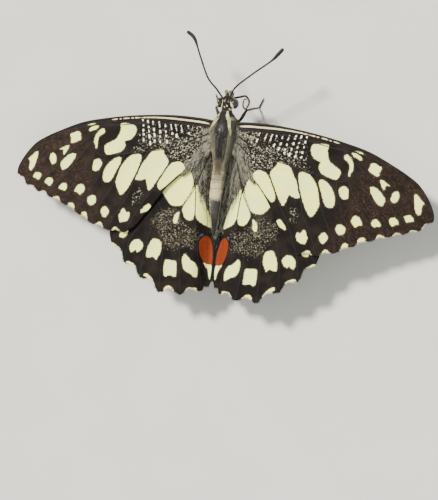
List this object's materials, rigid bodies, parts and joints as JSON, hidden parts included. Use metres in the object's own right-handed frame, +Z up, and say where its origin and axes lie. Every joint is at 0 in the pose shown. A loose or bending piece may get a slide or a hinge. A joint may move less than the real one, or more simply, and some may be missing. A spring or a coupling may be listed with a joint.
{
  "type": "chequered swallowtail butterfly, still life-size model",
  "caption": "Chequered swallowtail butterfly standing with both pairs of wings spread flat, feelers forward, cream spots on blackish brown and a red spot by the tail of each hind wing.",
  "frame": {"origin": "centre of the footprint at the feet's level, the middle of the bounding box's underside", "axes": "+X across the wingspan to the insect's right, +Y towards its head, +Z up from the ground"},
  "size_m": [0.0874, 0.0528, 0.0122],
  "materials": {
    "wing_scales": "matt dust of scales, blackish brown with cream spots and a brick red spot",
    "thorax_hair": "olive grey hair over glossy black",
    "head_hair": "short black hair with cream stripes",
    "abdomen_scales": "short flat scales, olive to slate above and cream at the sides",
    "eye_facets": "smooth dark purplish brown",
    "antenna_chitin": "dark, ringed",
    "palp_hair": "cream hair",
    "tongue_chitin": "dark horn",
    "leg_chitin": "dark brown with pale scales"
  },
  "bodies": {
    "root": {"abdomen": "abdomen_scales", "antenna_left": "antenna_chitin", "antenna_right": "antenna_chitin", "eye_left": "eye_facets", "eye_right": "eye_facets", "forewing_left": "wing_scales", "forewing_right": "wing_scales", "head": "head_hair", "hindwing_left": "wing_scales", "hindwing_right": "wing_scales", "leg_fore_left": "leg_chitin", "leg_fore_right": "leg_chitin", "leg_hind_left": "leg_chitin", "leg_hind_right": "leg_chitin", "leg_mid_left": "leg_chitin", "leg_mid_right": "leg_chitin", "palp_left": "palp_hair", "palp_right": "palp_hair", "proboscis": "tongue_chitin", "thorax": "thorax_hair"}
  },
  "joints": []
}
